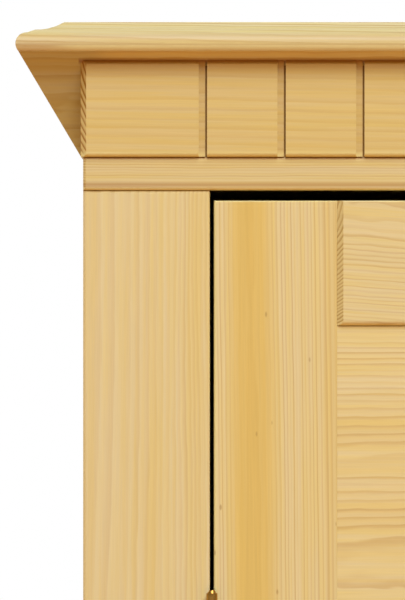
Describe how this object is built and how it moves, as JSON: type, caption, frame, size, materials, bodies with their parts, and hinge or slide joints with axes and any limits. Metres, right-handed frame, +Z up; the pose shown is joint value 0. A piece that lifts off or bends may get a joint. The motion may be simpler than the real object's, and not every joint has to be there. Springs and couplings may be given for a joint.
{
  "type": "display cabinet",
  "caption": "Tall pine display cabinet with inset part-glazed doors on brass hinges, inner shelves, a flared crown with a moulded edge and a grooved frieze, and a plain plinth.",
  "frame": {"origin": "middle of the overall box at floor level", "axes": "+Z up, +Y from the doors to the back, +X to the right as seen from the front"},
  "size_m": [1.0096, 0.408, 1.8],
  "materials": {
    "lacquered_pine": "satin clear lacquer over solid pine",
    "inner_pine": "planed pine, thinly lacquered",
    "clear_glass": "clear float glass",
    "brass": "satin brass",
    "steel": "zinc-plated steel",
    "white_plastic": "moulded plastic"
  },
  "bodies": {
    "cabinet": {"crown_top_board": "lacquered_pine", "crown_front_flare": "lacquered_pine", "crown_side_flare_left": "lacquered_pine", "crown_side_flare_right": "lacquered_pine", "crown_back_rail": "inner_pine", "crown_glue_blocks": "inner_pine", "frieze_board": "lacquered_pine", "top_panel": "lacquered_pine", "bottom_panel": "lacquered_pine", "side_panel_left": "inner_pine", "side_panel_right": "inner_pine", "face_stile_left": "lacquered_pine", "face_stile_right": "lacquered_pine", "back_board_1": "inner_pine", "back_board_2": "inner_pine", "back_board_3": "inner_pine", "back_board_4": "inner_pine", "wall_fixing_rail": "inner_pine", "plinth_front": "lacquered_pine", "plinth_side_left": "lacquered_pine", "plinth_side_right": "lacquered_pine", "plinth_back": "inner_pine", "carcass_dowels": "inner_pine", "shelf_1": "inner_pine", "shelf_2": "inner_pine", "shelf_3": "inner_pine", "shelf_4": "inner_pine", "shelf_pins": "steel", "magnetic_catches": "white_plastic", "hinge_pins": "brass", "frame_hinge_leaves": "brass", "frame_screws": "steel"},
    "left_door": {"left_door_hinge_stile": "lacquered_pine", "left_door_meeting_stile": "lacquered_pine", "left_door_top_rail": "lacquered_pine", "left_door_upper_rail": "lacquered_pine", "left_door_lower_rail": "lacquered_pine", "left_door_bottom_rail": "lacquered_pine", "left_door_upper_panel": "lacquered_pine", "left_door_lower_panel": "lacquered_pine", "left_door_glass": "clear_glass", "left_door_glazing_beads": "lacquered_pine", "left_door_knob": "lacquered_pine", "left_door_hinge_leaves": "brass", "left_door_screws": "steel", "left_door_catch_plate": "steel"},
    "right_door": {"right_door_hinge_stile": "lacquered_pine", "right_door_meeting_stile": "lacquered_pine", "right_door_top_rail": "lacquered_pine", "right_door_upper_rail": "lacquered_pine", "right_door_lower_rail": "lacquered_pine", "right_door_bottom_rail": "lacquered_pine", "right_door_upper_panel": "lacquered_pine", "right_door_lower_panel": "lacquered_pine", "right_door_glass": "clear_glass", "right_door_glazing_beads": "lacquered_pine", "right_door_knob": "lacquered_pine", "right_door_hinge_leaves": "brass", "right_door_screws": "steel", "right_door_catch_plate": "steel"}
  },
  "joints": [
    {"name": "left_door_swing", "type": "hinge", "parent": "cabinet", "child": "left_door", "pos_m": [-0.3989, -0.1793, 0.9], "axis": [0, 0, -1], "range_deg": [0, 170]},
    {"name": "right_door_swing", "type": "hinge", "parent": "cabinet", "child": "right_door", "pos_m": [0.3989, -0.1793, 0.9], "axis": [0, 0, 1], "range_deg": [0, 170]}
  ]
}
